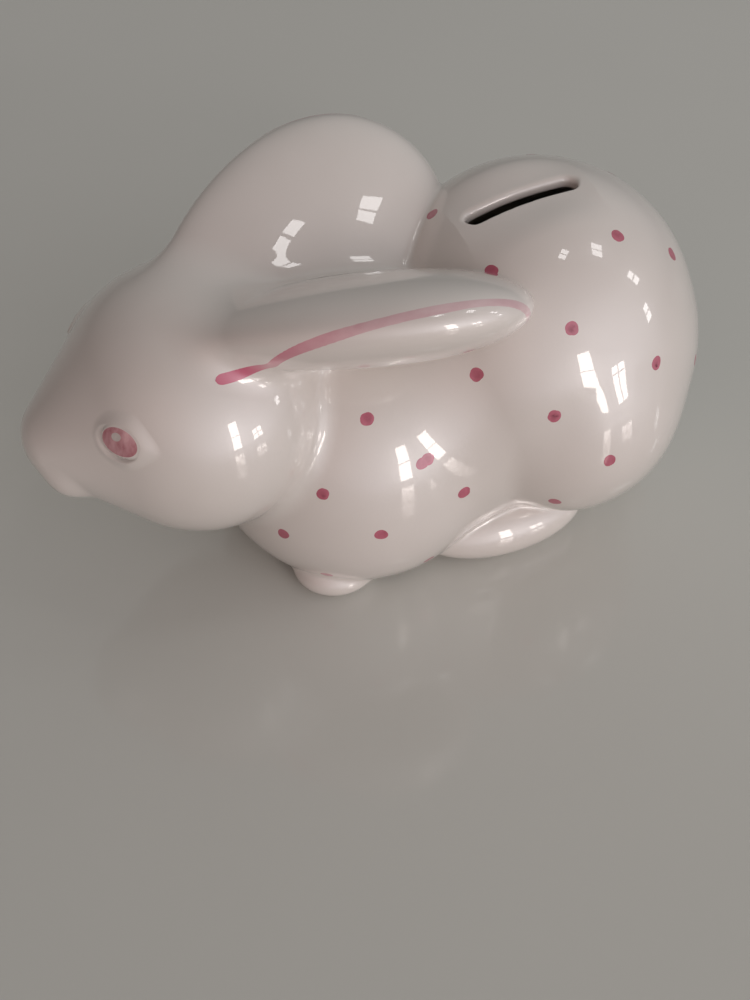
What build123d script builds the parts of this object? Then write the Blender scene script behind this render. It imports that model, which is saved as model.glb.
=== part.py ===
"""A crouching rabbit coin bank in glazed earthenware, with its ears laid back.

The bank is hollow. Its torso, head and ears are slip-cast shells that open into each other, while the
feet, paws and tail are small solid castings. All are luted together before firing. Coins drop through
a slot in the back and come out through a hole in the floor, which a rubber stopper closes.

Frame: millimetres, +X towards the nose, +Y to the rabbit's left, +Z up. The origin is on the table,
under the middle of the overall box.
"""

from build123d import *
import os
from math import cos, radians, sin, sqrt

# ---------------------------------------------------------------- driving dimensions
wall = 4.5  # thickness of the cast shells
ear_wall = 3.6
glaze_line = 2.0  # the glazed body stops this far above the table

rump_centre = Vector(-39.5, 0, 46.5)
rump_radius = 44.5
chest_centre = Vector(8.0, 0, 29.0)
chest_radius = 40.0
waist_radius = 34.0  # hollow blend between rump and chest

haunch_centre = Vector(-42.0, 16.5, 41.0)
haunch_radius = 31.5
haunch_blend = 6.0  # hollow round the haunch

skull_centre = Vector(49.0, 0, 54.5)
skull_radius = 31.0
muzzle_centre = Vector(79.7, 0, 51.5)
muzzle_radius = 10.8
head_breadth = 1.12  # how much wider the head is than it is high

ear_centre = Vector(15.3, 16.9, 79.2)
ear_direction = Vector(-62.9, 22.3, 8.4).normalized()
ear_half_length = 40.4
ear_half_width = 25.5
ear_half_thickness = 10.3
ear_lean = 57.0  # how far the ear's outer edge leans out from straight up, in degrees
ear_flare = 0.25  # extra share of width at the tip, and the same share less at the root
ear_swell = 0.15  # the same for thickness
ear_sections = 9
ear_end_angle = 82.0  # the end sections' angle on the ear's oval

slot_centre_x = -34.0
slot_length = 33.0
slot_width = 5.0
slot_lip = 1.5  # rolled edge of the slot

base_centre_x = -9.0
base_length = 88.0
base_width = 49.0
plinth_margin = 1.5  # glazed plinth beyond the bare base
plinth_height = 16.0
floor_top = 8.0
recess_depth = 3.5
ring_width = 5.5
hole_radius = 15.0
base_edge = 0.8

neck_passage_radius = 12.0
ear_vent_radius = 3.5

foot_centre = Vector(-25.5, 23.8, 7.0)
foot_radii = (24.2, 11.9, 9.3)
paw_centre = Vector(21.5, 21.5, 4.0)
paw_radii = (11.5, 10.5, 6.0)

tail_centre = Vector(-78.5, 0, 31.0)
tail_radius = 12.0

eye_target = Vector(70.0, 22.0, 66.0)
lid_length, lid_width = 15.5, 11.5  # outside of the raised lid
lid_offset = (-1.6, 0.3)
lid_slope = 16.0  # how far the lid's front corner is turned up
lid_height = 0.9
iris_length, iris_width = 9.0, 7.2
iris_slope = 38.0
iris_height = 0.6
glint_radius = 1.1
glint_offset = (1.0, -1.2)

enamel = 0.15  # how far painted enamel stands off the glaze
dot_radius = 1.6
# painted dots: place along X, and degrees round the spine from straight up
left_dots = (
    (-19, 20), (-49, 24), (-65, 30), (-32, 45), (-11, 44), (15, 42), (-53, 65), (-26, 68), (3, 63), (28, 66),
    (-72, 78), (-39, 91), (-6, 86), (16, 86), (37, 92), (-63, 110), (-29, 107), (1, 119), (27, 121),
)
right_dots = (
    (-16, 13), (-47, 28), (-63, 14), (-31, 50), (-8, 42), (17, 44), (-57, 62), (-24, 72), (4, 66), (29, 70),
    (-73, 82), (-43, 98), (-9, 90), (15, 87), (36, 100), (-61, 114), (-34, 120), (4, 117), (27, 118),
)
dot_root = 1.0  # each dot is drawn from this far under the glaze
stripe_width = 2.4
stripe_rise = 8.5  # where the stripe's plane crosses the middle of the ear, out from its mid-plane
stripe_slant = (0.16, 0.36)  # fall of that plane along and across the ear
stripe_ends = (-28.0, -5.0)  # its root end, along the ear, and its tip end, across the ear

flange_gap = 0.1  # flange to floor
stopper_neck_radius = 14.6
rib_radius = 14.94
rib_heights = (5.0, 7.2)
rib_width = 1.0
flange_radius = 17.8
flange_thickness = 2.1
plug_top = 13.0
cup_radius = 11.2
cup_roof = 2.2
grip_width = 3.2

# ---------------------------------------------------------------- frames shared by several pieces
spine = chest_centre - rump_centre
spine_plane = Plane(origin=rump_centre, x_dir=spine, z_dir=(0, -1, 0))
face_line = muzzle_centre - skull_centre
face_plane = Plane(origin=skull_centre, x_dir=face_line, z_dir=(0, -1, 0))
ear_up = (Vector(0, 0, 1) - ear_direction * ear_direction.Z).normalized()
ear_out = ear_direction.cross(ear_up)
ear_span = ear_up * cos(radians(ear_lean)) + ear_out * sin(radians(ear_lean))
ear_face = ear_direction.cross(ear_span)  # towards the open side of the ear
everything = 400.0  # larger than the bank in every direction
both_sides = (1, -1)


def torso_form(inset=0.0, bottom=glaze_line):
    """Rump and chest turned about the spine, with the haunches, all set in and cut level."""
    with BuildPart() as form:
        with BuildSketch(spine_plane) as half:
            Circle(rump_radius - inset)
            with Locations((spine.length, 0)):
                Circle(chest_radius - inset)
            fillet(half.vertices().filter_by(lambda corner: abs(corner.Y) > 1), waist_radius + inset)
            with Locations((0, 0)):
                Rectangle(everything, everything, align=(Align.CENTER, Align.MAX), mode=Mode.SUBTRACT)
        revolve(axis=Axis(rump_centre, spine))
        with Locations(*[(haunch_centre.X, side * haunch_centre.Y, haunch_centre.Z) for side in both_sides]):
            Sphere(haunch_radius - inset)
        creases = form.edges().filter_by(lambda edge: edge.bounding_box().max.Z > rump_centre.Z)
        fillet(creases.filter_by(lambda edge: abs(edge.center().Y) > haunch_centre.Y), haunch_blend + inset)
        with BuildSketch(Plane.XY.offset(bottom)):
            with Locations((base_centre_x, 0)):
                Ellipse(base_length / 2 + plinth_margin - inset, base_width / 2 + plinth_margin - inset)
        extrude(amount=plinth_height - bottom)
        split(bisect_by=Plane.XY.offset(bottom), keep=Keep.TOP)
    return form.part


def head_form(inset=0.0):
    """Skull and muzzle, turned about the line through both and then widened."""
    reach = face_line.length
    slant = (skull_radius - muzzle_radius) / reach
    rise = sqrt(1 - slant**2)
    skull, muzzle = skull_radius - inset, muzzle_radius - inset
    with BuildPart() as form:
        with BuildSketch(face_plane):
            with BuildLine():
                RadiusArc((-skull, 0), (skull * slant, skull * rise), skull)
                Line((skull * slant, skull * rise), (reach + muzzle * slant, muzzle * rise))
                RadiusArc((reach + muzzle * slant, muzzle * rise), (reach + muzzle, 0), muzzle)
                Line((reach + muzzle, 0), (-skull, 0))
            make_face()
        revolve(axis=Axis(skull_centre, face_line))
        scale(by=(1, head_breadth, 1))
    return form.part


def ear_form(inset=0.0):
    """The left ear's blade, lofted through ovals from root to tip."""
    with BuildPart() as form:
        for index in range(ear_sections):
            angle = radians(ear_end_angle * (2 * index / (ear_sections - 1) - 1))
            share = sin(angle)
            along = (ear_half_length - inset) * share
            half_width = (ear_half_width - inset) * cos(angle) * (1 + ear_flare * share)
            half_thickness = (ear_half_thickness - inset) * cos(angle) * (1 + ear_swell * share)
            section = Plane(origin=ear_centre + ear_direction * along, x_dir=ear_span, z_dir=ear_direction)
            with BuildSketch(section):
                Ellipse(half_width, half_thickness)
        loft()
        split(bisect_by=Plane.XZ.offset(-max(inset, 0)), keep=Keep.BOTTOM)
    return form.part


def ellipsoid(centre, radii):
    """A ball stretched to three radii."""
    with BuildPart() as form:
        Sphere(1)
        scale(by=radii)
    return Pos(*centre) * form.part


def surface_point(form, start, direction):
    """Where a ray from inside a form leaves it, with the outward normal there."""
    hits = form.find_intersection_points(Axis(start, direction))
    ahead = [hit for hit in hits if (hit[0] - start).dot(direction) > 0]
    place, normal = max(ahead, key=lambda hit: (hit[0] - start).dot(direction))
    return place, normal if normal.dot(direction) > 0 else -normal


def on_both_sides(name, left):
    """Writes a left-hand piece and its mirror image."""
    with BuildPart() as right:
        mirror(left, about=Plane.XZ)
    for side, shape in (("left", left), ("right", right.part)):
        shape.label = f"{side}_{name}"
        export_step(shape, f"parts/{side}_{name}.step")


os.makedirs("parts", exist_ok=True)
torso_outside = torso_form()
head_outside = head_form()
ear_outside = ear_form()

# ---------------------------------------------------------------- cast shells
with BuildPart() as base_footing:
    with BuildSketch():
        with Locations((base_centre_x, 0)):
            Ellipse(base_length / 2, base_width / 2)
    extrude(amount=floor_top)

passage_axis = skull_centre - chest_centre
with BuildPart() as neck_passage:
    with BuildSketch(Plane(origin=chest_centre, z_dir=passage_axis)):
        Circle(neck_passage_radius)
    extrude(amount=passage_axis.length)

slot_floor = rump_centre.Z + rump_radius / 2
slot_rim = rump_centre.Z + rump_radius * 3 / 4
with BuildPart() as torso_shell:
    add(torso_outside)
    with BuildSketch(Plane.XY.offset(slot_floor)):
        with Locations((slot_centre_x, 0)):
            SlotOverall(slot_length, slot_width)
    extrude(amount=rump_radius, mode=Mode.SUBTRACT)
    fillet(torso_shell.edges(Select.LAST).filter_by(lambda edge: edge.center().Z > slot_rim), slot_lip)
    add(torso_form(wall, floor_top), mode=Mode.SUBTRACT)
    add(base_footing.part, mode=Mode.SUBTRACT)
    add(neck_passage.part, mode=Mode.SUBTRACT)
torso_shell.part.label = "torso_shell"
export_step(torso_shell.part, "parts/torso_shell.step")

with BuildPart() as base_ring:
    add(base_footing.part)
    fillet(base_ring.edges().group_by(Axis.Z)[0], base_edge)
    with BuildSketch():
        with Locations((base_centre_x, 0)):
            Ellipse(base_length / 2 - ring_width, base_width / 2 - ring_width)
    extrude(amount=recess_depth, mode=Mode.SUBTRACT)
    with Locations((base_centre_x, 0, 0)):
        Hole(hole_radius)
base_ring.part.label = "base_ring"
export_step(base_ring.part, "parts/base_ring.step")

vent_start = ear_centre - ear_direction * (ear_half_length / 2)
vent_axis = skull_centre - vent_start
with BuildPart() as left_vent:
    with BuildSketch(Plane(origin=vent_start, z_dir=vent_axis)):
        Circle(ear_vent_radius)
    extrude(amount=vent_axis.length)

with BuildPart() as head_shell:
    add(head_outside)
    add(head_form(wall), mode=Mode.SUBTRACT)
    add(torso_outside, mode=Mode.SUBTRACT)
    add(left_vent.part, mode=Mode.SUBTRACT)
    mirror(left_vent.part, about=Plane.XZ, mode=Mode.SUBTRACT)
head_shell.part.label = "head_shell"
export_step(head_shell.part, "parts/head_shell.step")

with BuildPart() as left_ear:
    add(ear_outside)
    add(ear_form(ear_wall), mode=Mode.SUBTRACT)
    add(head_outside, mode=Mode.SUBTRACT)
    add(torso_outside, mode=Mode.SUBTRACT)
    add(left_vent.part, mode=Mode.SUBTRACT)
on_both_sides("ear", left_ear.part)

# ---------------------------------------------------------------- small solid castings
with BuildPart() as left_hind_foot:
    add(ellipsoid(foot_centre, foot_radii))
    split(bisect_by=Plane.XY, keep=Keep.TOP)
    add(torso_outside, mode=Mode.SUBTRACT)
    add(base_footing.part, mode=Mode.SUBTRACT)
on_both_sides("hind_foot", left_hind_foot.part)

with BuildPart() as left_forepaw:
    add(ellipsoid(paw_centre, paw_radii))
    split(bisect_by=Plane.XY, keep=Keep.TOP)
    add(torso_outside, mode=Mode.SUBTRACT)
    add(base_footing.part, mode=Mode.SUBTRACT)
on_both_sides("forepaw", left_forepaw.part)

with BuildPart() as tail:
    with Locations(tail_centre):
        Sphere(tail_radius)
    add(torso_outside, mode=Mode.SUBTRACT)
tail.part.label = "tail"
export_step(tail.part, "parts/tail.step")

# ---------------------------------------------------------------- eyes
eye_start = Vector(eye_target.X, 0, skull_centre.Z)
eye_place, eye_normal = surface_point(head_outside, eye_start, (eye_target - eye_start).normalized())
eye_forward = Vector(1, 0, 0) - eye_normal * eye_normal.X
eye_plane = Plane(origin=eye_place, x_dir=eye_forward, z_dir=eye_normal)
eye_root = eye_plane.offset(-2 * lid_height)


def eye_distance(edge):
    """How far an edge stands out from the eye's plane."""
    return (edge.center() - eye_place).dot(eye_normal)


with BuildPart() as left_eye_rim:
    with BuildSketch(eye_root):
        with Locations(lid_offset):
            Ellipse(lid_length / 2, lid_width / 2, rotation=-lid_slope)
        Ellipse(iris_length / 2, iris_width / 2, rotation=-iris_slope, mode=Mode.SUBTRACT)
    extrude(amount=3 * lid_height)
    fillet(left_eye_rim.edges().sort_by(eye_distance)[-2:], lid_height / 2)
    add(head_outside, mode=Mode.SUBTRACT)
on_both_sides("eye_rim", left_eye_rim.part)

with BuildPart() as left_iris:
    with BuildSketch(eye_root):
        Ellipse(iris_length / 2, iris_width / 2, rotation=-iris_slope)
    extrude(amount=2 * lid_height + iris_height)
    fillet(left_iris.edges().sort_by(eye_distance)[-1], iris_height / 2)
    add(head_outside, mode=Mode.SUBTRACT)
on_both_sides("iris", left_iris.part)

with BuildPart() as left_eye_glint:
    with BuildSketch(eye_plane.offset(iris_height)):
        with Locations(glint_offset):
            Circle(glint_radius)
    extrude(amount=enamel)
on_both_sides("eye_glint", left_eye_glint.part)

# ---------------------------------------------------------------- painted decoration
stripe_normal = ear_direction * stripe_slant[0] + ear_span * stripe_slant[1] + ear_face
stripe_plane = Plane(
    origin=ear_centre + ear_face * stripe_rise,
    x_dir=ear_direction - ear_face * stripe_slant[0],
    z_dir=stripe_normal,
)
with BuildPart() as left_ear_stripe:
    add(ear_form(-enamel))
    with BuildSketch(stripe_plane.offset(-stripe_width / 2)):
        with Locations(stripe_ends):
            Rectangle(everything, everything, align=(Align.MIN, Align.MIN))
    extrude(amount=stripe_width, mode=Mode.INTERSECT)
    add(ear_outside, mode=Mode.SUBTRACT)
    add(head_outside, mode=Mode.SUBTRACT)
    add(torso_outside, mode=Mode.SUBTRACT)
on_both_sides("ear_stripe", left_ear_stripe.part)

with BuildPart() as body_dots:
    for side, places in zip(both_sides, (left_dots, right_dots)):
        for along, turn in places:
            share = min(max((along - rump_centre.X) / spine.X, 0), 1)
            start = Vector(along, 0, rump_centre.Z + spine.Z * share)
            outward = Vector(0, side * sin(radians(turn)), cos(radians(turn)))
            place, normal = surface_point(torso_outside, start, outward)
            with BuildSketch(Plane(origin=place - normal * dot_root, z_dir=normal)):
                Circle(dot_radius)
            extrude(amount=dot_root + enamel)
    add(torso_outside, mode=Mode.SUBTRACT)
    add(ear_outside, mode=Mode.SUBTRACT)
    mirror(ear_outside, about=Plane.XZ, mode=Mode.SUBTRACT)
body_dots.part.label = "body_dots"
export_step(body_dots.part, "parts/body_dots.step")

# ---------------------------------------------------------------- stopper
flange_top = recess_depth - flange_gap
with BuildPart() as stopper:
    with BuildSketch(Plane.XY.offset(flange_top - flange_thickness)):
        Circle(flange_radius)
    extrude(amount=flange_thickness)
    fillet(stopper.edges().group_by(Axis.Z)[0], flange_thickness / 3)
    with BuildSketch(Plane.XY.offset(flange_top)):
        Circle(stopper_neck_radius)
    extrude(amount=plug_top - flange_top)
    chamfer(stopper.edges().group_by(Axis.Z)[-1], rib_width)
    for height in rib_heights:
        with BuildSketch(Plane.XY.offset(height)):
            Circle(rib_radius)
        extrude(amount=rib_width)
    with BuildSketch(Plane.XY.offset(flange_top - flange_thickness)):
        Circle(cup_radius)
        Rectangle(2 * cup_radius, grip_width, mode=Mode.SUBTRACT)
    extrude(amount=plug_top - cup_roof - flange_top + flange_thickness, mode=Mode.SUBTRACT)
with BuildPart() as placed_stopper:
    with Locations((base_centre_x, 0, 0)):
        add(stopper.part)
placed_stopper.part.label = "stopper"
export_step(placed_stopper.part, "parts/stopper.step")
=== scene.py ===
"""Glazed ceramic rabbit coin bank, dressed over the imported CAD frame.

The glazed skin is one smooth implicit form, built from the same balls, cones and blades as the CAD
model, with the soft creases, rolled lips and eyelids of a cast and glazed piece. It is meshed once and
then parted into one piece for each casting. Painted decoration is laid on that skin.
Forms, grids and paint are worked out in millimetres and turned into metres as they become meshes.
Materials, the floor, lights and the camera are in metres from the start.
"""

from math import cos, pi, radians, sin, sqrt

import bmesh
import bpy
import numpy as np
from mathutils import Matrix, Vector


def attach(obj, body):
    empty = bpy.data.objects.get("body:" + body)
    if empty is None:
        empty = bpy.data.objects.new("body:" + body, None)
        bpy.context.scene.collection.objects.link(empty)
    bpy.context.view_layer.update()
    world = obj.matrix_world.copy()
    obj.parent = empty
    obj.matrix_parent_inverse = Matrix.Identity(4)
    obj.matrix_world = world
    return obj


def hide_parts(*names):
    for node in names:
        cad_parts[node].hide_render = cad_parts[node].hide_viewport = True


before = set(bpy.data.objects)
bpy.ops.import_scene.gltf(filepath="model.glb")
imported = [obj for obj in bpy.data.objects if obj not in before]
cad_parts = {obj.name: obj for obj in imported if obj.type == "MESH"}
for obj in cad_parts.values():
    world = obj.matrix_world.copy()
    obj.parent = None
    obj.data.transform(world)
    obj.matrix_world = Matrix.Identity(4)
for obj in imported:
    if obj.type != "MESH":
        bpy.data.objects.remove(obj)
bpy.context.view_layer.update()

MM = 0.001
SIDES = (1, -1)
SIDE_NAMES = {1: "left", -1: "right"}

# ---------------------------------------------------------------- the castings, as in the CAD model
WALL = 4.5
GLAZE_LINE = 2.0
RUMP, RUMP_R = np.array([-39.5, 0, 46.5]), 44.5
CHEST, CHEST_R = np.array([8.0, 0, 29.0]), 40.0
WAIST_R = 34.0
HAUNCH, HAUNCH_R = np.array([-42.0, 16.5, 41.0]), 31.5
SKULL, SKULL_R = np.array([49.0, 0, 54.5]), 31.0
MUZZLE, MUZZLE_R = np.array([79.7, 0, 51.5]), 10.8
HEAD_BREADTH = 1.12
EAR = np.array([15.3, 16.9, 79.2])
EAR_DIRECTION = np.array([-62.9, 22.3, 8.4])
EAR_HALF = (40.4, 25.5, 10.3)
EAR_LEAN = 57.0
EAR_FLARE, EAR_SWELL = 0.25, 0.15
STRIPE_RISE, STRIPE_SLANT = 8.5, (0.16, 0.36)
FOOT, FOOT_R = np.array([-25.5, 23.8, 7.0]), (24.2, 11.9, 9.3)
PAW, PAW_R = np.array([21.5, 21.5, 4.0]), (11.5, 10.5, 6.0)
TAIL, TAIL_R = np.array([-78.5, 0, 31.0]), 12.0
BASE_X, BASE_HALF = -9.0, (44.0, 24.5)
PLINTH_MARGIN, PLINTH_TOP = 1.5, 16.0
FLOOR_TOP = 8.0
SLOT_X, SLOT_HALF, SLOT_R = -34.0, 14.0, 2.5
EYE_TARGET = np.array([70.0, 22.0, 66.0])

# ---------------------------------------------------------------- softness of the glazed form
NECK_BLEND, HAUNCH_BLEND = 5.0, 2.5
HAUNCH_VALLEY, VALLEY_HALF = 0.9, 3.0  # depth and half width of the crease before each haunch
VALLEY_FRONT = (-40.0, -26.0)  # places along the body between which the crease grows to that depth
RUMP_CROWN = 2.0  # how much fuller the rump's top is than a ball
CROWN_TOWARDS = np.array([-0.2, 0, 0.98])  # where that fullness is greatest
CROWN_REACH = (0.55, 1.0)  # cosines, seen from the rump's middle, between which it grows
EAR_BLEND, EAR_REST = 6.0, 1.2  # softness of the ear's join to the head, and where it rests on the back
EAR_REST_REACH = (2.0, 18.0)  # distances off the head between which the one gives way to the other
FOOT_BLEND, TAIL_BLEND, BASE_ROUND = 1.4, 2.5, 2.5
SLOT_ROLL = (1.9, 0.7)  # how softly the skin turns into the slot on its right and on its left
ROLL_REACH = (-1.5, 1.5)  # places across the slot between which the one gives way to the other
SLOT_FILL = 2.4  # how far the glaze closes each end of the slot
SLOT_THINNING, THINNING_REACH = 1.5, 10.0  # the wall is thinner where the slot was cut
SLOT_DIP, DIP_HALF = 2.0, 17.0  # depth and half length of the flat pressed round the slot
DIP_SIDE = (3.0, 15.0)  # how far to each side the flat is full, and where it ends
DISH_DEPTH = 2.0  # hollow of the ear's open face
DISH_HEART, DISH_HALF = (3.0, -3.0), (36.0, 20.0)  # its middle and reach, along and across the ear
DISH_FULL = 0.3  # share of that reach within which the hollow is at its deepest
EARS_APART = 3.0  # softness of the valley between the two ears
LIP, LIP_R, LIP_BLEND = np.array([80.5, 6.0, 46.0]), 6.7, 3.0  # the pads of the upper lip
CAVITY_BLEND = 10.0  # softness of the neck passage inside
CUT_EDGE = 0.8  # softness of the edges left by the cut base and by the hollow
SLOPE_STEP = 0.05  # half the step over which a form's slope is measured
CAST_STEPS = 600  # places tried along a ray
TINY, LEAST_SLOPE = 1e-9, 1e-12  # keep a length and a slope from being zero where they divide


# ---------------------------------------------------------------- implicit forms
def unit(vector):
    return vector / np.linalg.norm(vector)


def blend(a, b, width):
    """Smooth union of two distances."""
    share = np.clip(0.5 + 0.5 * (b - a) / width, 0, 1)
    return b + (a - b) * share - width * share * (1 - share)


def carve(a, b, width):
    """Smooth difference: a without b."""
    return -blend(-a, b, width)


def smooth_step(value, low, high):
    share = np.clip((value - low) / (high - low), 0, 1)
    return share * share * (3 - 2 * share)


def folded(p):
    """The right half folded onto the left."""
    return p * (1, 0, 1) + np.abs(p) * (0, 1, 0)


def softly_folded(p, softness):
    """The right half folded onto the left, easing over the middle."""
    moved = p.copy()
    moved[..., 1] = np.sqrt(p[..., 1] ** 2 + softness**2)
    return moved


def ball(p, centre, radius):
    return np.linalg.norm(p - centre, axis=-1) - radius


def ellipsoid(p, centre, radii):
    """Near the surface, the distance from an ellipsoid, or from an ellipse where p has two coordinates."""
    q = (p - centre) / radii
    near = np.linalg.norm(q, axis=-1) + TINY
    slope = np.linalg.norm(q / radii, axis=-1) + TINY
    return near * (near - 1) / slope


def upright_oval(p, half, top):
    """The base's oval with the given half lengths, carried straight up to a top."""
    return np.maximum(ellipsoid(p[..., :2], np.array([BASE_X, 0]), half), p[..., 2] - top)


def round_cone(p, start, end, r1, r2):
    """Two balls and the cone that touches both."""
    axis = end - start
    length = np.linalg.norm(axis)
    axis = axis / length
    slant = (r1 - r2) / length
    rise = sqrt(1 - slant**2)
    along = (p - start) @ axis
    out = np.sqrt(np.maximum(np.sum((p - start) ** 2, -1) - along**2, 0))
    shift = along * rise - out * slant  # place along the cone's side
    side = out * rise + along * slant - r1
    near = np.hypot(along, out) - r1
    far = np.hypot(along - length, out) - r2
    return np.where(shift < 0, near, np.where(shift > length * rise, far, side))


# the waist's hollow arc, in a plane through the spine
SPINE = CHEST - RUMP
SPINE_LENGTH = np.linalg.norm(SPINE)
SPINE_AXIS = SPINE / SPINE_LENGTH
WAIST_ALONG = (SPINE_LENGTH**2 + (RUMP_R + WAIST_R) ** 2 - (CHEST_R + WAIST_R) ** 2) / (2 * SPINE_LENGTH)
WAIST_OUT = sqrt((RUMP_R + WAIST_R) ** 2 - WAIST_ALONG**2)


def torso_core(p):
    """Rump and chest turned about the spine, with the hollow waist between them."""
    along = (p - RUMP) @ SPINE_AXIS
    out = np.sqrt(np.maximum(np.sum((p - RUMP) ** 2, -1) - along**2, 0))
    balls = np.minimum(np.hypot(along, out) - RUMP_R, np.hypot(along - SPINE_LENGTH, out) - CHEST_R)
    behind = WAIST_OUT * (along - WAIST_ALONG) + WAIST_ALONG * (WAIST_OUT - out)
    before = WAIST_OUT * (WAIST_ALONG - along) + (SPINE_LENGTH - WAIST_ALONG) * (WAIST_OUT - out)
    within = (behind > 0) & (before > 0) & (out < WAIST_OUT)
    arc = WAIST_R - np.hypot(along - WAIST_ALONG, out - WAIST_OUT)
    return np.where(within, arc, balls)


def slot_dip(p):
    """The flat pressed round the slot, from 0 off it to 1 at its middle."""
    along = np.clip(1 - ((p[..., 0] - SLOT_X) / DIP_HALF) ** 2, 0, 1)
    return along * (1 - smooth_step(np.abs(p[..., 1]), *DIP_SIDE)) * (p[..., 2] > RUMP[2])


def torso(p):
    """Rump, chest and haunches, sat down into an upright oval at the base."""
    core, haunch = torso_core(p), ball(folded(p), HAUNCH, HAUNCH_R)
    crease = np.exp(-(((core - haunch) / VALLEY_HALF) ** 2)) * smooth_step(p[..., 0], *VALLEY_FRONT)
    upward = (p - RUMP) @ CROWN_TOWARDS / (np.linalg.norm(p - RUMP, axis=-1) + TINY)
    form = blend(core, haunch, HAUNCH_BLEND) + HAUNCH_VALLEY * crease
    form = form - RUMP_CROWN * smooth_step(upward, *CROWN_REACH) + SLOT_DIP * slot_dip(p)
    plinth = upright_oval(p, np.array(BASE_HALF) + PLINTH_MARGIN, PLINTH_TOP)
    return blend(form, plinth, BASE_ROUND)


def head(p):
    """Skull and muzzle, with the two pads of the upper lip."""
    form = round_cone(p / (1, HEAD_BREADTH, 1), SKULL, MUZZLE, SKULL_R, MUZZLE_R)
    return blend(form, ball(folded(p), LIP, LIP_R), LIP_BLEND)


EAR_AXIS = unit(EAR_DIRECTION)
EAR_UP = unit(np.array([0, 0, 1]) - EAR_AXIS * EAR_AXIS[2])
EAR_OUT = np.cross(EAR_AXIS, EAR_UP)
EAR_SPAN = EAR_UP * cos(radians(EAR_LEAN)) + EAR_OUT * sin(radians(EAR_LEAN))
EAR_FACE = np.cross(EAR_AXIS, EAR_SPAN)
EAR_FRAME = np.stack([EAR_AXIS, EAR_SPAN, EAR_FACE])


def ear(p):
    """The left ear's blade, wider and thicker towards its tip, with a shallow dish in its open face."""
    q = (p - EAR) @ EAR_FRAME.T
    share = np.clip(q[..., 0] / EAR_HALF[0], -1, 1)
    long_half = np.full(share.shape, EAR_HALF[0])
    wide_half = EAR_HALF[1] * (1 + EAR_FLARE * share)
    thick_half = EAR_HALF[2] * (1 + EAR_SWELL * share)
    blade = ellipsoid(q, np.zeros(3), np.stack([long_half, wide_half, thick_half], -1))
    reach = np.linalg.norm((q[..., :2] - DISH_HEART) / DISH_HALF, axis=-1)
    open_face = smooth_step(q[..., 2], 0.0, EAR_HALF[2] / 2)
    return blade + DISH_DEPTH * (1 - smooth_step(reach, DISH_FULL, 1.0)) * open_face


def gradient(form, p):
    """Outward unit normal of a form at p."""
    slope = np.stack([form(p + step) - form(p - step) for step in np.eye(3) * SLOPE_STEP], -1)
    return slope / (np.linalg.norm(slope, axis=-1, keepdims=True) + LEAST_SLOPE)


def settle(form, p, height=0.0, rounds=4):
    """Moves points along the normal until they lie at a height above the form."""
    for _ in range(rounds):
        normal = gradient(form, p)
        p = p - normal * (form(p) - height)[..., None]
    return p, gradient(form, p)


def cast(form, start, towards, reach):
    """Where a ray that starts inside a form leaves it for the last time."""
    places = start + towards * np.linspace(0, reach, CAST_STEPS)[:, None]
    inside = np.nonzero(form(places) < 0)[0]
    return settle(form, places[inside[-1:]])[0][0]


# ---------------------------------------------------------------- eyes
# ovals in the eye's plane: half lengths, middle (forward and down from the eye's), and slope in degrees
LID_HALF, LID_OFFSET, LID_SLOPE = (6.9, 5.6), (-0.5, 0.3), -24.0
IRIS_HALF, IRIS_OFFSET, IRIS_SLOPE = (4.8, 3.3), (0, 0), -27.0
SOCKET_HALF, SOCKET_OFFSET, SOCKET_SLOPE = (5.2, 3.6), (1.5, 0.45), -27.0
GLINT_HALF, GLINT_OFFSET, GLINT_SLOPE = (1.4, 1.05), (0.3, -1.3), -10.0
LID_POINT = 0.55  # how pointed the lid's rear corner is
LID_HEIGHT, LID_FADE = 0.85, (0.6, 1.3)  # its height, and the shares of its oval over which it falls away
SOCKET_DEPTH, SOCKET_FADE = 0.2, (0.8, 1.2)  # the groove inside the lid
IRIS_SEAT, IRIS_DOME = 0.82, 0.22  # height of the eyeball's edge, and of its dome above that
IRIS_FADE = (1.0, 1.16)  # shares of the iris's oval over which the eyeball meets the groove
EYE_BEHIND = -4.0  # nothing this far inside the head belongs to the eye
EYE_CAST = 60.0  # reach of the ray from the head's middle that finds the eye's place
EYE_START = np.array([EYE_TARGET[0], 0, SKULL[2]])
EYE = cast(head, EYE_START, unit(EYE_TARGET - EYE_START), EYE_CAST)
EYE_NORMAL = gradient(head, EYE)
EYE_FORWARD = unit(np.array([1.0, 0, 0]) - EYE_NORMAL * EYE_NORMAL[0])
EYE_DOWN = np.cross(EYE_NORMAL, EYE_FORWARD)
EYE_FRAME = np.stack([EYE_FORWARD, EYE_DOWN, EYE_NORMAL])


def oval_radius(q, half, centre, slope, point=0.0):
    """Distance from an oval's centre as a share of its edge. Its rear end may be pointed."""
    angle = radians(slope)
    x, y = q[..., 0] - centre[0], q[..., 1] - centre[1]
    along = (x * cos(angle) + y * sin(angle)) / half[0]
    across = (y * cos(angle) - x * sin(angle)) / half[1]
    return np.hypot(along, across * (1 + point * np.maximum(-along, 0) ** 2))


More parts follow.
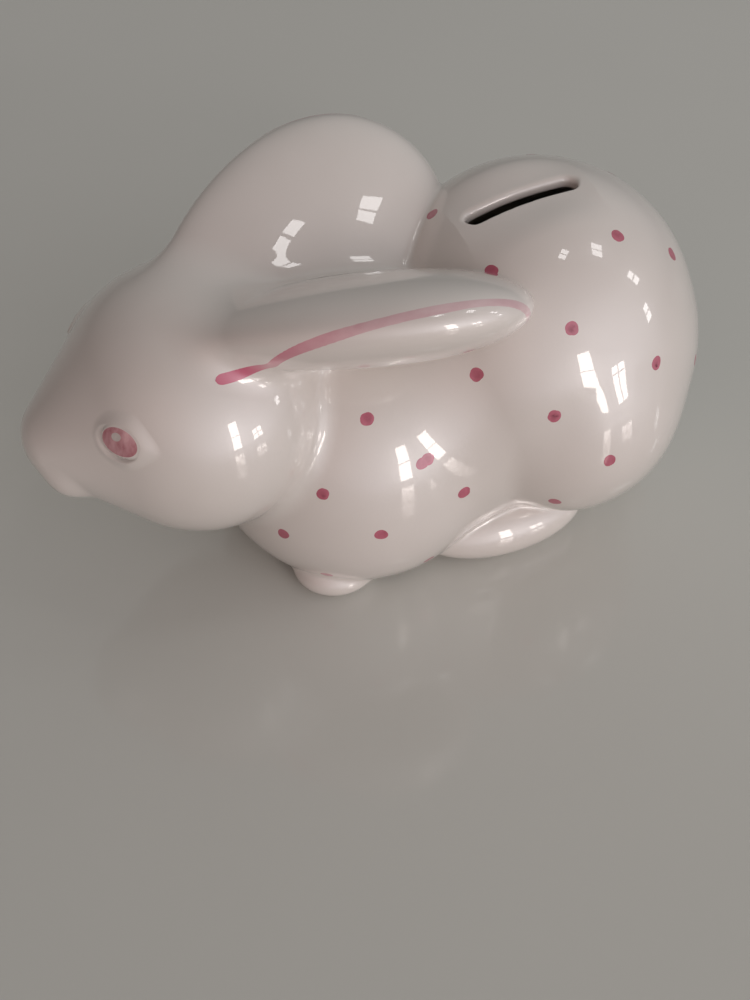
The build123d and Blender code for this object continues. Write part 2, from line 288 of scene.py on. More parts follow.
def eye_relief(p):
    """Height of the lid, its inner groove and the eyeball above the head, on the left side."""
    q = (p - EYE) @ EYE_FRAME.T
    lid = oval_radius(q, LID_HALF, LID_OFFSET, LID_SLOPE, LID_POINT)
    socket = smooth_step(oval_radius(q, SOCKET_HALF, SOCKET_OFFSET, SOCKET_SLOPE), *SOCKET_FADE)
    iris = oval_radius(q, IRIS_HALF, IRIS_OFFSET, IRIS_SLOPE)
    ridge = LID_HEIGHT * (1 - smooth_step(lid, *LID_FADE))
    around = ridge * socket - SOCKET_DEPTH * (1 - socket)
    dome = IRIS_SEAT + IRIS_DOME * np.clip(1 - iris**2, 0, 1)
    edge = smooth_step(iris, *IRIS_FADE)
    return np.where(q[..., 2] > EYE_BEHIND, around * edge + dome * (1 - edge), 0)


def slot_prism(p):
    """The slot's round-ended opening, from the rump's middle up."""
    x = np.maximum(np.abs(p[..., 0] - SLOT_X) - (SLOT_HALF - SLOT_FILL), 0)
    return np.maximum(np.hypot(x, p[..., 1]) - SLOT_R, RUMP[2] - p[..., 2])


def slot_roll(p):
    """How softly the skin turns into the slot on each side of it."""
    return SLOT_ROLL[0] + (SLOT_ROLL[1] - SLOT_ROLL[0]) * smooth_step(p[..., 1], *ROLL_REACH)


def casting_forms(p):
    """Each casting's own form, all as if on the left side."""
    left = folded(p)
    return {
        "torso": np.maximum(torso(p), GLAZE_LINE - p[..., 2]),
        "head": head(p) - eye_relief(left),
        "ear": ear(softly_folded(p, EARS_APART)),
        "foot": ellipsoid(left, FOOT, FOOT_R),
        "paw": ellipsoid(left, PAW, PAW_R),
        "tail": ball(p, TAIL, TAIL_R),
    }


def skin(p):
    """The whole glazed form: castings run together, then hollowed, slotted and cut off at the base."""
    forms = casting_forms(p)
    body = carve(torso(p), p[..., 2] - GLAZE_LINE, BASE_ROUND)
    form = blend(body, forms["head"], NECK_BLEND)
    off_head = smooth_step(forms["head"], *EAR_REST_REACH)
    form = blend(form, forms["ear"], EAR_BLEND + (EAR_REST - EAR_BLEND) * off_head)
    form = blend(form, forms["foot"], FOOT_BLEND)
    form = blend(form, forms["paw"], FOOT_BLEND)
    form = blend(form, forms["tail"], TAIL_BLEND)
    form = carve(form, p[..., 2], CUT_EDGE)
    form = carve(form, slot_prism(p), slot_roll(p))
    wall = WALL - SLOT_THINNING * (1 - smooth_step(slot_prism(p), 0, THINNING_REACH))
    hollow = blend(torso(p), forms["head"], CAVITY_BLEND) + wall
    form = carve(form, np.maximum(hollow, FLOOR_TOP - p[..., 2]), CUT_EDGE)
    return np.maximum(form, -upright_oval(p, np.array(BASE_HALF), FLOOR_TOP))


# ---------------------------------------------------------------- meshing
GRID = 0.8  # spacing of the meshing grid
BLOCK = 4  # fine cells along a coarse block
BLOCK_MARGIN = 1.6  # lengths of a block within which its middle's distance may mean a crossing
BATCHES = 12  # the fine cells are worked out in this many parts, to save memory
CORNERS = [(i, j, k) for i in (0, 1) for j in (0, 1) for k in (0, 1)]


def one_step_apart(a, b):
    return sum(b) - sum(a) == 1 and all(y >= x for x, y in zip(a, b))


EDGES = [(a, b) for a in CORNERS for b in CORNERS if one_step_apart(a, b)]


def sampled(form, low, shape):
    """The form on a grid, worked out in full only in the blocks that its surface may cross."""
    blocks = np.stack(np.meshgrid(*[np.arange(n // BLOCK) for n in shape], indexing="ij"), -1)
    centres = low + (blocks * BLOCK + (BLOCK - 1) / 2) * GRID
    rough = form(centres)
    field = np.repeat(np.repeat(np.repeat(rough, BLOCK, 0), BLOCK, 1), BLOCK, 2)
    near = np.argwhere(np.abs(rough) < GRID * BLOCK * BLOCK_MARGIN)
    steps = np.stack(np.meshgrid(*[np.arange(BLOCK)] * 3, indexing="ij"), -1).reshape(-1, 3)
    cells = (near[:, None] * BLOCK + steps).reshape(-1, 3)
    for part in np.array_split(cells, BATCHES):
        field[tuple(part.T)] = form(low + part * GRID)
    return field


def net_vertices(field, low):
    """One vertex in each cell the surface crosses, at the mean of its edges' crossings, and its number."""
    size = np.array(field.shape) - 1
    corner = {c: field[tuple(slice(o, o + n) for o, n in zip(c, size))] for c in CORNERS}
    count = sum((corner[c] < 0).astype(np.int8) for c in CORNERS)
    active = (count > 0) & (count < len(CORNERS))
    values = {c: corner[c][active] for c in CORNERS}
    total, crossings = np.zeros((active.sum(), 3)), np.zeros(active.sum())
    for a, b in EDGES:
        crossed = (values[a] < 0) != (values[b] < 0)
        share = np.where(crossed, values[a] / np.where(crossed, values[a] - values[b], 1), 0)
        total += np.where(crossed[:, None], np.array(a) + share[:, None] * (np.array(b) - a), 0)
        crossings += crossed
    points = low + (np.argwhere(active) + total / crossings[:, None]) * GRID
    index = np.full(active.shape, -1)
    index[active] = np.arange(len(points))
    return points, index


def net_quads(field, index):
    """One quad round each of the grid's edges that the surface crosses."""
    quads = []
    for axis in range(3):
        first, second = (axis + 1) % 3, (axis + 2) % 3
        start, end = [slice(1, -1)] * 3, [slice(1, -1)] * 3
        start[axis] = slice(0, -1)
        end[axis] = slice(1, None)
        below, above = field[tuple(start)] < 0, field[tuple(end)] < 0
        ring = []
        for u, v in ((0, 0), (1, 0), (1, 1), (0, 1)):
            cut = [slice(None)] * 3
            cut[first] = slice(u, index.shape[first] - 1 + u)
            cut[second] = slice(v, index.shape[second] - 1 + v)
            ring.append(index[tuple(cut)])
        for crossed, order in ((below & ~above, (0, 1, 2, 3)), (above & ~below, (3, 2, 1, 0))):
            quads.append(np.stack([ring[k][crossed] for k in order], -1))
    return np.concatenate(quads)


def net(field, low):
    """The surface net where the field is zero."""
    points, index = net_vertices(field, low)
    return points, net_quads(field, index)


# ---------------------------------------------------------------- Blender objects
def mesh_object(name, points, faces, normals, material):
    """A smooth-shaded object from millimetre points, shaded with the form's own normals."""
    mesh = bpy.data.meshes.new(name)
    mesh.from_pydata((points * MM).tolist(), [], [tuple(face) for face in faces])
    mesh.polygons.foreach_set("use_smooth", np.ones(len(mesh.polygons), bool))
    mesh.materials.append(material)
    mesh.normals_split_custom_set_from_vertices(normals.tolist())
    mesh.update()
    piece = bpy.data.objects.new(name, mesh)
    bpy.context.scene.collection.objects.link(piece)
    return piece


def new_material(name):
    """A material, its node tree and its shader."""
    material = bpy.data.materials.new(name)
    material.use_nodes = True
    tree = material.node_tree
    return material, tree, tree.nodes["Principled BSDF"]


def add_node(tree, kind, inputs=None, **settings):
    """A new node. An input's value is a number, a colour or the socket that feeds it."""
    node = tree.nodes.new(kind)
    for key, value in settings.items():
        setattr(node, key, value)
    for key, value in (inputs or {}).items():
        if isinstance(value, bpy.types.NodeSocket):
            tree.links.new(value, node.inputs[key])
        else:
            node.inputs[key].default_value = value
    return node


def noise(tree, scale, detail=2.0, stretch=(1, 1, 1)):
    """Noise with about the given number of lumps to a metre, in the object's own frame."""
    place = add_node(tree, "ShaderNodeTexCoord").outputs["Object"]
    spread = add_node(tree, "ShaderNodeMapping", {"Vector": place, "Scale": stretch}).outputs[0]
    lumps = add_node(tree, "ShaderNodeTexNoise", {"Vector": spread, "Scale": scale, "Detail": detail})
    return lumps.outputs["Fac"]


def ramp(tree, value, dark, light):
    """A colour between two stops, each (value, colour)."""
    node = add_node(tree, "ShaderNodeValToRGB", {"Fac": value})
    for element, (place, colour) in zip(node.color_ramp.elements, (dark, light)):
        element.position = place
        element.color = (*colour, 1)
    return node.outputs["Color"]


def bump(tree, height, depth, strength=1.0, **below):
    """A surface normal raised by a height of the given depth in metres."""
    inputs = {"Height": height, "Distance": depth, "Strength": strength, **below}
    return add_node(tree, "ShaderNodeBump", inputs).outputs[0]


# lumps to a metre, and depth in metres
WAVER_SCALE, WAVER_DEPTH = 38, 0.00025
PEEL_SCALE, PEEL_DEPTH = 900, 0.00025 / 12


def glazed_material(name):
    """A clear glaze, with its slow waver and faint orange peel, over whatever colour lies under it."""
    material, tree, shader = new_material(name)
    shader.inputs["Roughness"].default_value = 0.3
    shader.inputs["IOR"].default_value = 1.55
    shader.inputs["Coat Weight"].default_value = 1.0
    shader.inputs["Coat Roughness"].default_value = 0.02
    shader.inputs["Coat IOR"].default_value = 1.7
    waver = bump(tree, noise(tree, WAVER_SCALE), WAVER_DEPTH)
    peel = bump(tree, noise(tree, PEEL_SCALE), PEEL_DEPTH, Normal=waver)
    tree.links.new(peel, shader.inputs["Normal"])
    tree.links.new(waver, shader.inputs["Coat Normal"])
    return material, tree, shader


def glaze_material():
    material, tree, shader = glazed_material("white_glaze")
    clouds = noise(tree, 24, 3)
    tone = ramp(tree, clouds, (0.3, (0.70, 0.645, 0.60)), (0.7, (0.76, 0.70, 0.66)))
    tree.links.new(tone, shader.inputs["Base Color"])
    return material


def enamel_material(name, dark, light, scale):
    """Brushed ceramic paint seen through the glaze."""
    material, tree, shader = glazed_material(name)
    streaks = noise(tree, scale, 4, (1, 1, 0.4))
    tree.links.new(ramp(tree, streaks, (0.3, dark), (0.72, light)), shader.inputs["Base Color"])
    return material


THICK_PAINT = (0.58, 0.11, 0.19, 1)
PAINT_THINS = (0.020, 0.042)  # metres along the rabbit between which the stripe's paint thins out


def stripe_material():
    """Paint that goes on thick at the ear's root and thins along the brush's stroke."""
    material, tree, shader = glazed_material("stripe_enamel")
    streaks = noise(tree, 260, 4, (0.4, 1, 1))
    thin = ramp(tree, streaks, (0.3, (0.62, 0.37, 0.40)), (0.72, (0.74, 0.54, 0.55)))
    place = add_node(tree, "ShaderNodeTexCoord").outputs["Object"]
    along = add_node(tree, "ShaderNodeSeparateXYZ", {"Vector": place}).outputs["X"]
    reach = {"Value": along, "From Min": PAINT_THINS[0], "From Max": PAINT_THINS[1]}
    thickness = add_node(tree, "ShaderNodeMapRange", reach).outputs[0]
    mixed = {0: thickness, 6: thin, 7: THICK_PAINT}  # the colour mix's factor and its two colours
    tone = add_node(tree, "ShaderNodeMix", mixed, data_type="RGBA").outputs[2]
    tree.links.new(tone, shader.inputs["Base Color"])
    return material


def bisque_material():
    """Bare fired clay, dry and grainy."""
    material, tree, shader = new_material("bare_bisque")
    shader.inputs["Roughness"].default_value = 0.85
    tone = ramp(tree, noise(tree, 180, 6), (0.25, (0.55, 0.47, 0.38)), (0.8, (0.70, 0.62, 0.52)))
    tree.links.new(tone, shader.inputs["Base Color"])
    tree.links.new(bump(tree, noise(tree, 1500, 6), 0.0002, 0.6), shader.inputs["Normal"])
    return material


def rubber_material():
    """Soft milky rubber, more rubbed in some places than in others."""
    material, tree, shader = new_material("stopper_rubber")
    shader.inputs["Subsurface Weight"].default_value = 0.3
    shader.inputs["Subsurface Scale"].default_value = 0.002
    shader.inputs["Specular IOR Level"].default_value = 0.4
    tone = ramp(tree, noise(tree, 120, 3), (0.3, (0.62, 0.60, 0.55)), (0.75, (0.72, 0.70, 0.66)))
    tree.links.new(tone, shader.inputs["Base Color"])
    rubbed = {"Value": noise(tree, 700, 4), "To Min": 0.42, "To Max": 0.6}
    roughness = add_node(tree, "ShaderNodeMapRange", rubbed).outputs[0]
    tree.links.new(roughness, shader.inputs["Roughness"])
    tree.links.new(bump(tree, noise(tree, 2600, 3), 0.00006, 0.5), shader.inputs["Normal"])
    return material


def floor_material():
    """A pale polished table top."""
    material, tree, shader = new_material("floor")
    shader.inputs["Roughness"].default_value = 0.1
    shader.inputs["IOR"].default_value = 1.6
    tone = ramp(tree, noise(tree, 3, 3), (0.3, (0.60, 0.605, 0.565)), (0.7, (0.64, 0.645, 0.605)))
    tree.links.new(tone, shader.inputs["Base Color"])
    return material


GLAZE = glaze_material()
DOT_PAINT = enamel_material("dot_enamel", (0.40, 0.055, 0.105), (0.55, 0.12, 0.19), 400)
STRIPE_PAINT = stripe_material()
IRIS_PAINT = enamel_material("iris_enamel", (0.38, 0.10, 0.13), (0.72, 0.42, 0.44), 420)
GLINT_PAINT = enamel_material("glint_enamel", (0.56, 0.49, 0.46), (0.68, 0.62, 0.58), 500)


# ---------------------------------------------------------------- the glazed skin
GRID_LOW = np.array([-93.0, -51.0, -3.0])
GRID_SPAN = (186, 102, 104)
EYE_ZONES = (9.5, 8.5)  # distances from the eye within which the mesh is halved, and then halved again
SLOT_ZONE = 5.0  # reach round the slot within which the mesh is halved once
SLOT_SKIN = RUMP[2] + RUMP_R * 0.7  # height above which that skin lies
INNER_DEPTH = 2.0  # this far inside the torso and head, the mesh is their inner wall
LID_SHARE, LID_BEHIND = 1.12, -3.0  # share of the lid's oval that the rim covers, and how far in it starts


def near_slot(place):
    """Whether a place is on the outer skin beside the slot."""
    beside = abs(place.x - SLOT_X) < SLOT_HALF + SLOT_ZONE and abs(place.y) < SLOT_ZONE
    return beside and place.z > SLOT_SKIN


def refine(points, quads):
    """Halves the mesh round the eyes, twice, and along the slot, once."""
    mesh = bpy.data.meshes.new("net")
    mesh.from_pydata(points.tolist(), [], quads.tolist())
    work = bmesh.new()
    work.from_mesh(mesh)
    for zone in EYE_ZONES:
        chosen = []
        for edge in work.edges:
            middle = (edge.verts[0].co + edge.verts[1].co) / 2
            near_eye = (Vector((middle.x, abs(middle.y), middle.z)) - Vector(EYE)).length < zone
            if near_eye or (zone == EYE_ZONES[0] and near_slot(middle)):
                chosen.append(edge)
        bmesh.ops.subdivide_edges(work, edges=chosen, cuts=1, use_grid_fill=True)
    work.to_mesh(mesh)
    work.free()
    points = np.zeros(len(mesh.vertices) * 3)
    mesh.vertices.foreach_get("co", points)
    faces = [tuple(face.vertices) for face in mesh.polygons]
    bpy.data.meshes.remove(mesh)
    return points.reshape(-1, 3), faces


def casting_of(points):
    """The name of the casting that each point belongs to."""
    forms = casting_forms(points)
    names = list(forms)
    values = np.stack([forms[name] for name in names], -1)
    inner = np.minimum(forms["torso"], forms["head"]) < -INNER_DEPTH
    values[inner, 2:] = np.inf
    nearest = np.argmin(values, -1)
    q = (folded(points) - EYE) @ EYE_FRAME.T
    lid = (oval_radius(q, LID_HALF, LID_OFFSET, LID_SLOPE) < LID_SHARE) & (q[..., 2] > LID_BEHIND) & ~inner
    labels = np.array(names, dtype=object)[nearest]
    labels[lid & (labels == "head")] = "eye_rim"
    sides = np.where(points[..., 1] > 0, "left_", "right_")
    paired = np.isin(labels, ("ear", "foot", "paw", "eye_rim"))
    return np.where(paired, sides + labels, labels)


NODES_OF_CASTING = {
    "torso": "torso_shell",
    "head": "head_shell",
    "tail": "tail",
    "left_ear": "left_ear",
    "right_ear": "right_ear",
    "left_foot": "left_hind_foot",
    "right_foot": "right_hind_foot",
    "left_paw": "left_forepaw",
    "right_paw": "right_forepaw",
    "left_eye_rim": "left_eye_rim",
    "right_eye_rim": "right_eye_rim",
}


def build_skin():
    """Meshes the whole skin once and parts it into one piece for each casting."""
    shape = tuple(int(np.ceil(span / GRID / BLOCK)) * BLOCK for span in GRID_SPAN)
    points, faces = refine(*net(sampled(skin, GRID_LOW, shape), GRID_LOW))
    points, normals = settle(skin, points, rounds=2)
    corner_counts = np.array([len(face) for face in faces])
    flat = np.concatenate([np.array(face) for face in faces])
    starts = np.concatenate([[0], np.cumsum(corner_counts)[:-1]])
    centres = np.add.reduceat(points[flat], starts, axis=0) / corner_counts[:, None]
    labels = casting_of(centres)
    for casting, node in NODES_OF_CASTING.items():
        chosen = np.nonzero(labels == casting)[0]
        used = np.unique(np.concatenate([faces[k] for k in chosen]))
        renumber = np.full(len(points), -1)
        renumber[used] = np.arange(len(used))
        own = [tuple(renumber[list(faces[k])]) for k in chosen]
        piece = mesh_object(f"{casting}_glaze", points[used], own, normals[used], GLAZE)
        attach(piece, "bank")
        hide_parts(node)


build_skin()


# ---------------------------------------------------------------- painted decoration
PAINT_HEIGHT, PAINT_TUCK = 0.08, -0.02  # heights above the skin of paint and of its tucked-in edges
DOT_EDGE, STRIPE_EDGE, EYE_EDGE = 0.72, 0.6, 0.85  # share of the way to its rim where each thins out


def mirror_image(points, faces):
    """The mirror image in the rabbit's middle plane."""
    return points * (1, -1, 1), [tuple(reversed(face)) for face in faces]


def disc_faces(rings, spokes):
    """The faces of a disc whose points are its middle and then each ring in turn."""
    faces = [(0, 1 + k, 1 + (k + 1) % spokes) for k in range(spokes)]
    for ring in range(rings - 1):
        inner, outer = 1 + ring * spokes, 1 + (ring + 1) * spokes
        for k in range(spokes):
            after = (k + 1) % spokes
            faces.append((inner + k, outer + k, outer + after, inner + after))
    return faces


def disc(outline, rings, spokes):
    """A flat disc's points, their shares of the way to the rim outline(angles), and its faces."""
    rim = outline(np.arange(spokes) * 2 * pi / spokes)
    shares = np.linspace(0, 1, rings + 1)[1:]
    points = np.concatenate([[[0, 0]], *[rim * share for share in shares]])
    return points, np.concatenate([[0], np.repeat(shares, spokes)]), disc_faces(rings, spokes)


def paint_heights(share, height, tuck, edge):
    """Heights that fall from full to tucked in as a share of the way to the rim goes from edge to 1."""
    return tuck + (height - tuck) * (1 - smooth_step(share, edge, 1.0))


def islands(mesh):
    """The vertex positions of each loose part, in millimetres."""
    group = list(range(len(mesh.vertices)))

    def root(k):
        while group[k] != k:
            group[k] = group[group[k]]
            k = group[k]
        return k

    for edge in mesh.edges:
        group[root(edge.vertices[0])] = root(edge.vertices[1])
    loose = {}
    for vertex in mesh.vertices:
        loose.setdefault(root(vertex.index), []).append(vertex.co / MM)
    return [np.array(part) for part in loose.values()]


def add_paint(name, node, parts, material):
    """One piece of paint made of parts, each (points, heights, faces), laid on the skin."""
    points = np.concatenate([part[0] for part in parts])
    heights = np.concatenate([part[1] for part in parts])
    offsets = np.cumsum([0] + [len(part[0]) for part in parts])
    faces = [tuple(k + offset for k in face) for part, offset in zip(parts, offsets) for face in part[2]]
    points, normals = settle(skin, points, heights)
    piece = mesh_object(name, points, faces, normals, material)
    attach(piece, "bank")
    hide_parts(node)


DOT_R, DOT_WOBBLE, DOT_SPREAD = 1.6, 0.07, (0.92, 1.08)  # radius, its waver, and how sizes differ
DOT_RINGS, DOT_SPOKES = 5, 32
DOT_ACROSS = (0.3, 0.2, 1.0)  # a direction no dot faces, from which each one's tangents are made
rng = np.random.default_rng(11)


def wobbly_round(angles):
    """A dot's outline as a brush leaves it."""
    phases = rng.uniform(0, 2 * pi, 2)
    wobble = DOT_WOBBLE * (np.sin(2 * angles + phases[0]) + np.sin(3 * angles + phases[1]) / 2)
    reach = DOT_R * (1 + wobble) * rng.uniform(*DOT_SPREAD)
    return np.stack([reach * np.cos(angles), reach * np.sin(angles)], -1)


def painted_dot(place):
    """A dot on the skin nearest to a place."""
    centre, normal = (found[0] for found in settle(skin, place[None]))
    side = unit(np.cross(normal, DOT_ACROSS))
    points, share, faces = disc(wobbly_round, DOT_RINGS, DOT_SPOKES)
    heights = paint_heights(share, PAINT_HEIGHT, PAINT_TUCK, DOT_EDGE)
    return centre + points @ np.stack([side, np.cross(normal, side)]), heights, faces


def build_dots():
    """One painted dot over each of the CAD model's dots, from the tail's end forwards."""
    dots = sorted(islands(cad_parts["body_dots"].data), key=lambda part: part[:, 0].mean())
    parts = [painted_dot(dot.mean(0)) for dot in dots]
    add_paint("painted_dots", "body_dots", parts, DOT_PAINT)


build_dots()


IRIS_HEIGHT, IRIS_RINGS, IRIS_SPOKES = 0.05, 14, 64
GLINT_HEIGHT, GLINT_RINGS, GLINT_SPOKES = 0.12, 5, 28
EYE_TUCK = PAINT_TUCK / 2


def eye_disc(half, offset, slope, height, rings, spokes):
    """Paint on the left eyeball, laid out as an oval in the eye's own plane."""
    turn = radians(slope)

    def outline(angles):
        along, across = half[0] * np.cos(angles), half[1] * np.sin(angles)
        forward = along * cos(turn) - across * sin(turn)
        down = along * sin(turn) + across * cos(turn)
        return np.stack([forward, down], -1)

    points, share, faces = disc(outline, rings, spokes)
    heights = paint_heights(share, height, EYE_TUCK, EYE_EDGE)
    return EYE + (points + offset) @ EYE_FRAME[:2] + EYE_NORMAL, heights, faces


def build_eyes():
    iris = eye_disc(IRIS_HALF, IRIS_OFFSET, IRIS_SLOPE, IRIS_HEIGHT, IRIS_RINGS, IRIS_SPOKES)
    glint = eye_disc(GLINT_HALF, GLINT_OFFSET, GLINT_SLOPE, GLINT_HEIGHT, GLINT_RINGS, GLINT_SPOKES)
    for side in SIDES:
        for name, (points, heights, faces), paint, slot in (
            ("iris", iris, IRIS_PAINT, "rose_enamel"),
            ("eye_glint", glint, GLINT_PAINT, "pale_enamel"),
        ):
            if side < 0:
                points, faces = mirror_image(points, faces)
            full = f"{SIDE_NAMES[side]}_{name}"
            add_paint(f"{full}_paint", full, [(points, heights, faces)], paint)


build_eyes()

STRIPE_WIDTH = 2.4
STRIPE_HEART = (0.0, 10.0)  # a point in the stripe's plane, along and out from the ear's centre
STRIPE_TURNS = (171.0, -13.0)  # where it leaves the head and where it ends past the tip, seen from there
STRIPE_ROOT, ROOT_STEPS = np.array([50.2, 23.1, 77.6]), 20  # its blunt start, on the head
TIP_SHIFT, TIP_TURNS = 2.2, (-20.0, 10.0)  # how far it moves onto the open face as it rounds the tip
STRIPE_STEPS, STRIPE_LANES = 170, 9
STRIPE_CAST = 45.0  # reach of the rays that find its path on the skin
STRIPE_EASE = 10  # steps on each side over which a turn of the brush is evened out
STRIPE_ONTO_FACE = {1: 0.0, -1: 1.5}  # how much further onto the open face each side's stripe lies
ROOT_SHARE, TIP_SHARE = 0.02, 0.05  # shares of its length over which it is rounded and drawn out
ROOT_BREADTH, BREADTH_LOST = 1.08, 0.25  # its breadth at the root, and what it loses on the way to the tip
BREADTH_WAVER, WAVER_TURNS = 0.06, 23  # unevenness of its breadth, and how quickly that comes and goes
LEAST_BREADTH = 0.03  # share of its breadth that is left at its very ends


def stripe_path(onto_face):
    """Places along the stripe's middle, from its root on the head round the left ear's tip."""
    rise = STRIPE_RISE + onto_face - STRIPE_SLANT[0] * STRIPE_HEART[0] - STRIPE_SLANT[1] * STRIPE_HEART[1]
    heart = EAR + np.array([*STRIPE_HEART, rise]) @ EAR_FRAME
    normal = unit(np.array([*STRIPE_SLANT, 1.0]) @ EAR_FRAME)
    first = unit(EAR_AXIS - normal * (normal @ EAR_AXIS))
    second = np.cross(normal, first)
    path = []
    for turn in np.linspace(*STRIPE_TURNS, STRIPE_STEPS - ROOT_STEPS):
        start = heart + normal * TIP_SHIFT * smooth_step(-turn, *TIP_TURNS)
        towards = first * cos(radians(turn)) + second * sin(radians(turn))
        path.append(cast(skin, start, towards, STRIPE_CAST))
    root = STRIPE_ROOT + normal * onto_face
    path = np.concatenate([np.linspace(root, path[0], ROOT_STEPS, endpoint=False), path])
    padded = np.concatenate([path[:1]] * STRIPE_EASE + [path] + [path[-1:]] * STRIPE_EASE)
    kernel = np.ones(2 * STRIPE_EASE + 1) / (2 * STRIPE_EASE + 1)
    return np.stack([np.convolve(padded[:, k], kernel, "valid") for k in range(3)], -1)


def stripe_half_width(share):
    """Half the stripe's width at a share of the way along it."""
    blunt_root = np.sqrt(np.clip(1 - (1 - np.clip(share / ROOT_SHARE, 0, 1)) ** 2, 0, 1))
    drawn_tip = np.sqrt(np.clip((1 - share) / TIP_SHARE, 0, 1))
    half = STRIPE_WIDTH / 2 * np.maximum(blunt_root * drawn_tip, LEAST_BREADTH)
    return half * (ROOT_BREADTH - BREADTH_LOST * share + BREADTH_WAVER * np.sin(share * WAVER_TURNS))


def stripe_band(onto_face):
    """A brushed band along the left ear's outer rim and round its tip."""
    path, out = settle(skin, stripe_path(onto_face))
    length = np.concatenate([[0], np.cumsum(np.linalg.norm(np.diff(path, axis=0), axis=1))])
    half = stripe_half_width(length / length[-1])
    across = np.cross(np.gradient(path, axis=0), out)
    across /= np.linalg.norm(across, axis=-1, keepdims=True)
    lanes = np.linspace(-1, 1, STRIPE_LANES)
    points = (path[:, None] + across[:, None] * (half[:, None] * lanes)[..., None]).reshape(-1, 3)
    heights = paint_heights(np.abs(lanes), PAINT_HEIGHT, PAINT_TUCK, STRIPE_EDGE)
    heights = np.tile(heights, STRIPE_STEPS)
    faces = []
    for row in range(STRIPE_STEPS - 1):
        for lane in range(STRIPE_LANES - 1):
            k = row * STRIPE_LANES + lane
            faces.append((k, k + 1, k + 1 + STRIPE_LANES, k + STRIPE_LANES))
    return points, heights, faces


def build_stripes():
    for side in SIDES:
        points, heights, faces = stripe_band(STRIPE_ONTO_FACE[side])
        if side < 0:
            points, faces = mirror_image(points, faces)
        name = f"{SIDE_NAMES[side]}_ear_stripe"
        add_paint(f"{name}_paint", name, [(points, heights, faces)], STRIPE_PAINT)


build_stripes()

# the base ring and the stopper keep their CAD shapes
for node, material in (("base_ring", bisque_material()), ("stopper", rubber_material())):
    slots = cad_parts[node].data.materials
    slots.clear()
    slots.append(material)


# ---------------------------------------------------------------- floor, light and camera
CAMERA_TARGET = (0.0062, 0.0106, 0.0112)
CAMERA_DISTANCE, CAMERA_LENS = 0.3113, 41.4
CAMERA_AZIMUTH, CAMERA_ELEVATION, CAMERA_ROLL = 157.8, 47.5, 1.2
FLOOR_REACH, FLOOR_GAP = 3.0, 0.0001  # half its breadth, and its clearance under the foot ring
AMBIENT = (0.03, 0.03, 0.028)
# soft glows of the studio walls: azimuth, elevation, how tight each is, and its colour times its strength
GLOWS = (
    (187, 11, 8, (0.92, 0.92, 0.96)),
    (215, 5, 12, (0.88, 0.87, 0.92)),
    (300, 35, 8, (0.40, 0.41, 0.40)),
    (5, 35, 8, (0.25, 0.25, 0.24)),
    (130, 25, 8, (0.38, 0.25, 0.22)),
)
PANE_GAP = 0.012  # dark bar between the panes of a soft box
# each soft box: azimuth and elevation it shines from, distance, size, panes across and up, power, colour
LIGHTS = (
    ("key_window", 194, 15, 1.0, (0.15, 0.44), (1, 2), 1.3, (1.0, 0.90, 0.84)),
    ("side_top", 256, 56, 1.0, (0.17, 0.12), (2, 1), 0.22, (1.0, 0.98, 0.97)),
    ("side_middle", 249, 31, 1.0, (0.09, 0.15), (1, 2), 0.16, (1.0, 0.98, 0.97)),
    ("side_low", 243, 15, 1.0, (0.08, 0.13), (1, 2), 0.12, (1.0, 0.98, 0.97)),
    ("low_box", 214, 8, 1.0, (0.16, 0.16), (2, 2), 0.40, (1.0, 0.90, 0.85)),
    ("high_box", 229, 74, 1.0, (0.14, 0.08), (2, 1), 0.12, (1.0, 0.98, 0.97)),
)


def direction(azimuth, elevation):
    """Unit vector from the object towards a place round it, in degrees. Azimuth 0 is along -Y."""
    turn, rise = radians(azimuth), radians(elevation)
    return Vector((sin(turn) * cos(rise), -cos(turn) * cos(rise), sin(rise)))


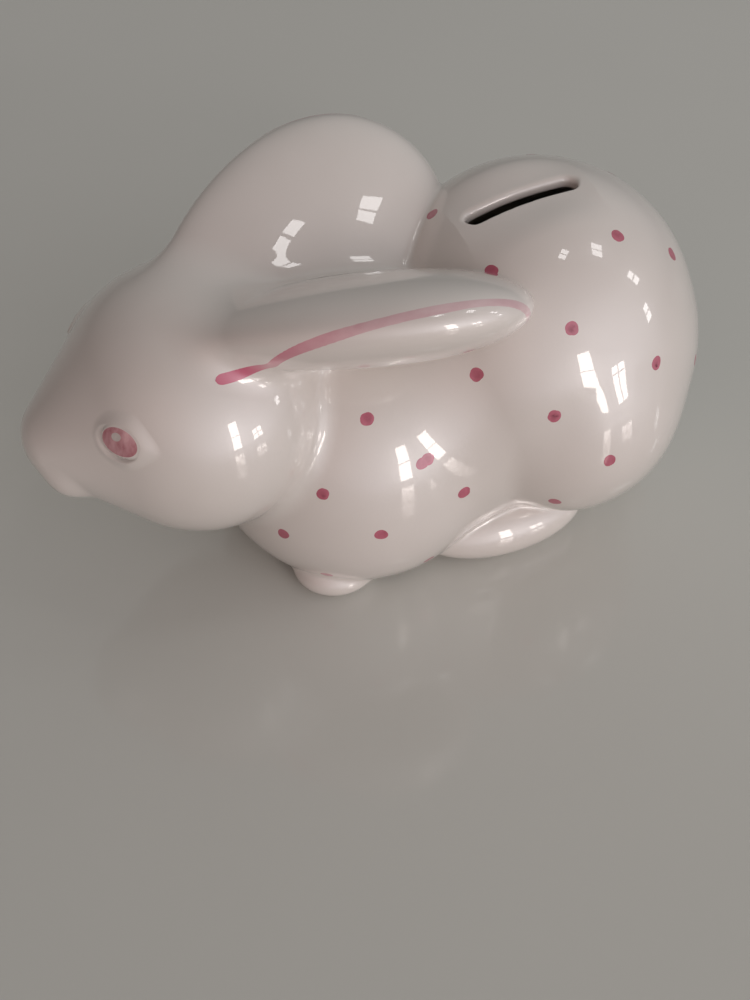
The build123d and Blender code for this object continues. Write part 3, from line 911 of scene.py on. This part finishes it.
def build_world():
    """A dim even room with a few soft glows, each fading smoothly away from its middle."""
    world = bpy.data.worlds.new("studio")
    world.use_nodes = True
    tree = world.node_tree
    towards = add_node(tree, "ShaderNodeTexCoord").outputs["Generated"]
    total = AMBIENT
    for azimuth, elevation, tightness, colour in GLOWS:
        middle = {0: towards, 1: direction(azimuth, elevation)}
        facing = add_node(tree, "ShaderNodeVectorMath", middle, operation="DOT_PRODUCT").outputs["Value"]
        halved = {0: facing, 1: 0.5, 2: 0.5}  # from 0, opposite the glow, to 1, at its middle
        share = add_node(tree, "ShaderNodeMath", halved, operation="MULTIPLY_ADD").outputs[0]
        glow = add_node(tree, "ShaderNodeMath", {0: share, 1: tightness}, operation="POWER").outputs[0]
        added = {0: glow, 1: colour, 2: total}
        total = add_node(tree, "ShaderNodeVectorMath", added, operation="MULTIPLY_ADD").outputs["Vector"]
    tree.links.new(total, tree.nodes["Background"].inputs["Color"])
    bpy.context.scene.world = world


def build_floor():
    square = ((-1, -1), (1, -1), (1, 1), (-1, 1))
    corners = [(x * FLOOR_REACH, y * FLOOR_REACH, -FLOOR_GAP) for x, y in square]
    mesh = bpy.data.meshes.new("floor")
    mesh.from_pydata(corners, [], [(0, 1, 2, 3)])
    mesh.materials.append(floor_material())
    floor = bpy.data.objects.new("floor", mesh)
    bpy.context.scene.collection.objects.link(floor)


def build_lights():
    """Soft boxes, each a few lit panes with gaps between them, as in a window."""
    for name, azimuth, elevation, distance, size, panes, power, colour in LIGHTS:
        data = bpy.data.lights.new(name, "AREA")
        data.shape = "RECTANGLE"
        data.size, data.size_y = (length / count - PANE_GAP for length, count in zip(size, panes))
        data.energy = power / (panes[0] * panes[1])
        data.color = colour
        facing = direction(azimuth, elevation).to_track_quat("Z", "Y")
        for column in range(panes[0]):
            for row in range(panes[1]):
                across = ((column + 0.5) / panes[0] - 0.5) * size[0]
                up = ((row + 0.5) / panes[1] - 0.5) * size[1]
                lamp = bpy.data.objects.new(f"{name}_{column}_{row}", data)
                lamp.location = facing @ Vector((across, up, distance))
                lamp.rotation_euler = facing.to_euler()
                bpy.context.scene.collection.objects.link(lamp)


def build_camera():
    """The photograph's viewpoint."""
    data = bpy.data.cameras.new("camera")
    data.lens = CAMERA_LENS
    data.clip_start = 0.01
    camera = bpy.data.objects.new("camera", data)
    away = direction(CAMERA_AZIMUTH, CAMERA_ELEVATION)
    upright = away.to_track_quat("Z", "Y").to_matrix().to_4x4()
    turn = upright @ Matrix.Rotation(radians(CAMERA_ROLL), 4, "Z")
    camera.matrix_world = Matrix.Translation(Vector(CAMERA_TARGET) + away * CAMERA_DISTANCE) @ turn
    bpy.context.scene.collection.objects.link(camera)
    bpy.context.scene.camera = camera


build_floor()
build_world()
build_lights()
build_camera()
bpy.context.scene.view_settings.view_transform = "Standard"

bpy.context.view_layer.update()
